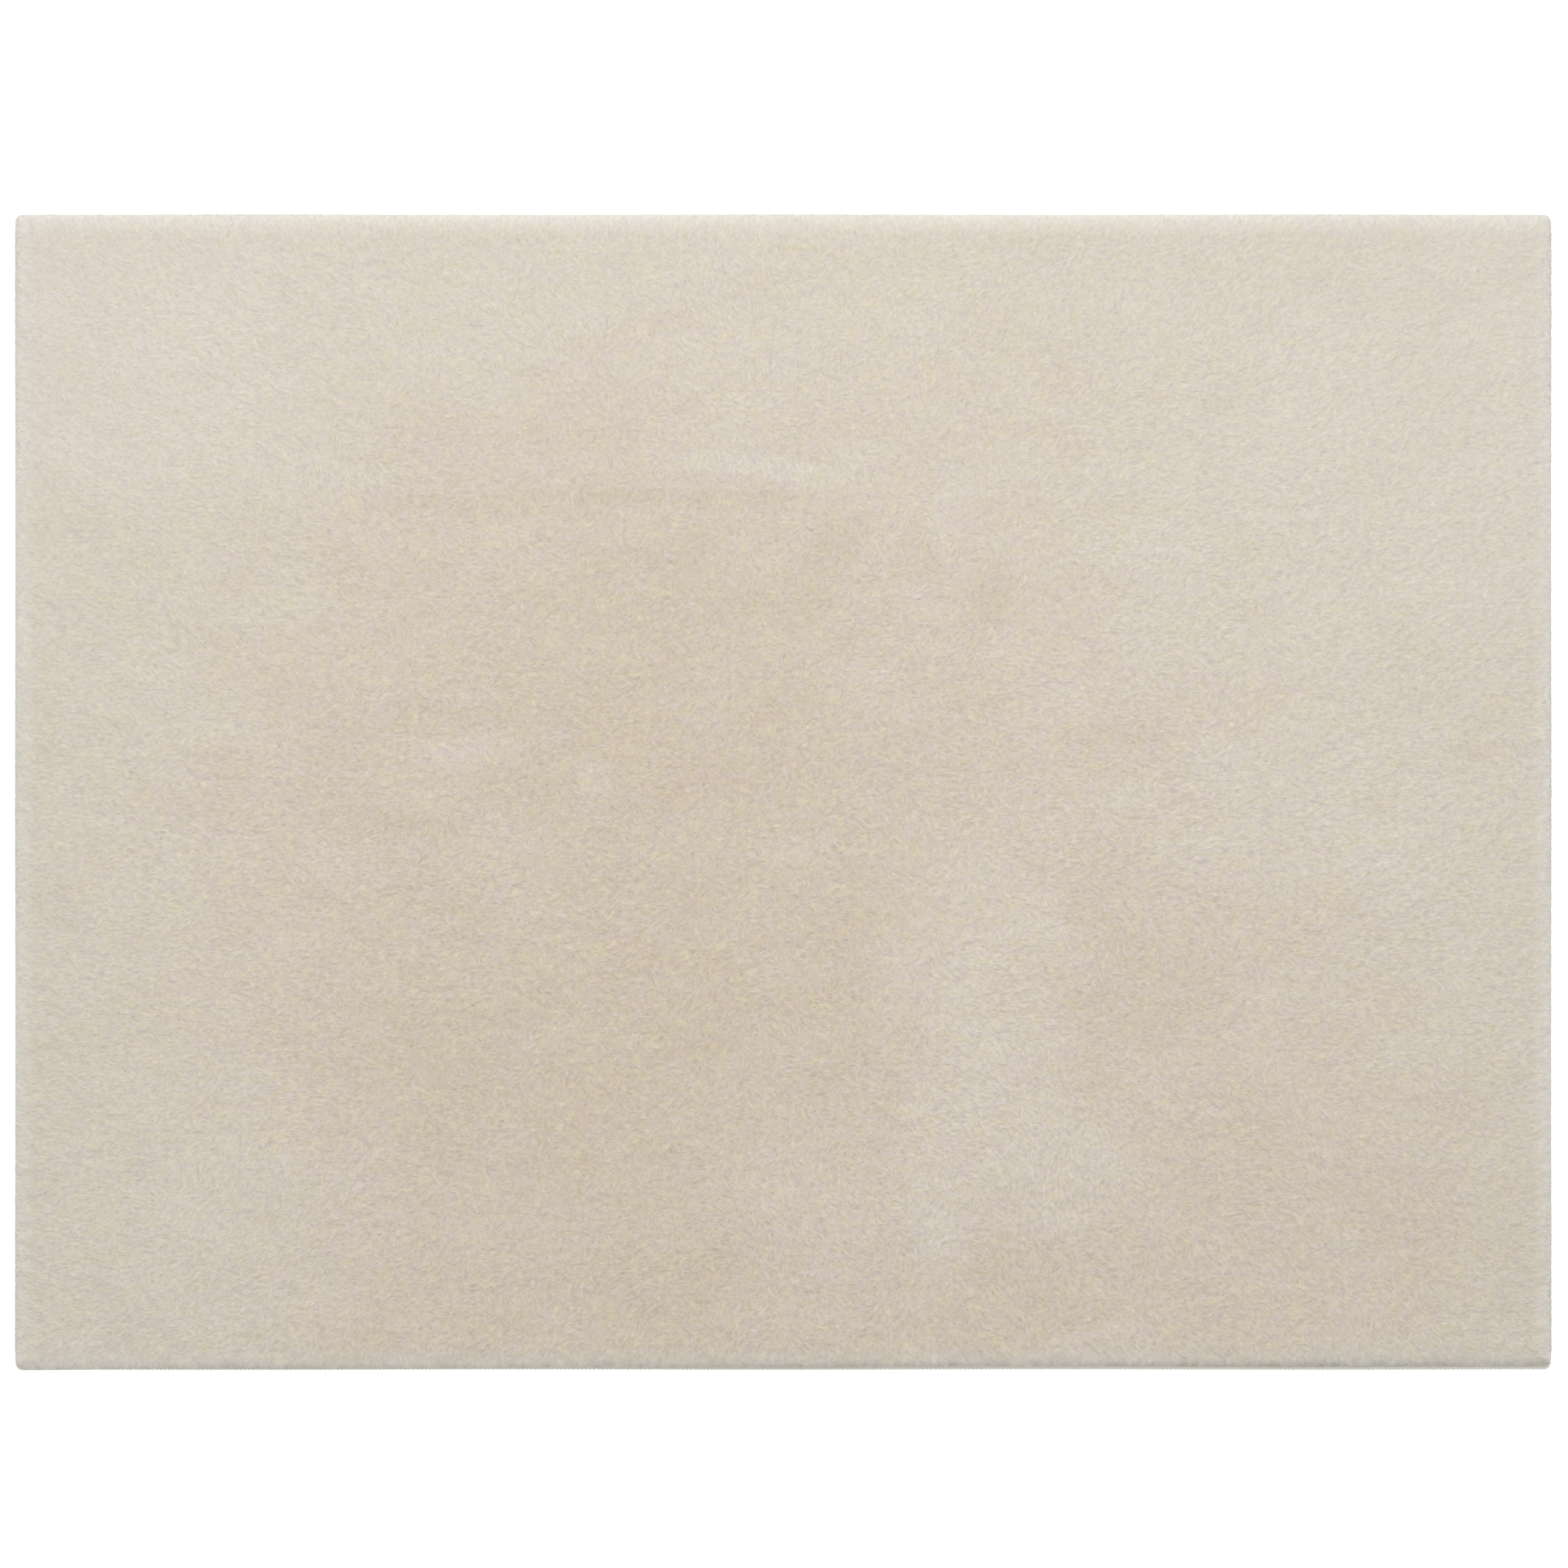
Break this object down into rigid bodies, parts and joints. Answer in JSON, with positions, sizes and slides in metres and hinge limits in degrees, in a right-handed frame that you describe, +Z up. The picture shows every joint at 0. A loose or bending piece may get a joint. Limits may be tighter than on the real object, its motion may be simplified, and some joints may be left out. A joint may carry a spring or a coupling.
{
  "type": "shag rug",
  "caption": "Flat rectangular cream shag rug: one deep soft pile cloth with locks at its rim, edged all round with an overlocked thread binding, for lying on a floor.",
  "frame": {"origin": "middle of the rug's flat underside, which lies in the plane Z = 0", "axes": "+Z up out of the pile, X along the rug's long sides, Y across it; the front edge, where the binding shows below the pile, is at -Y"},
  "size_m": [1.6, 1.204, 0.0228],
  "materials": {
    "cream_pile": "soft matt polyester pile, warm cream with faint lilac and yellow tinges, fibre sheen at grazing angles",
    "binding_thread": "off-white twisted sewing thread, matt to satin"
  },
  "bodies": {
    "root": {"pile_cloth": "cream_pile", "edge_binding": "binding_thread"}
  },
  "joints": []
}
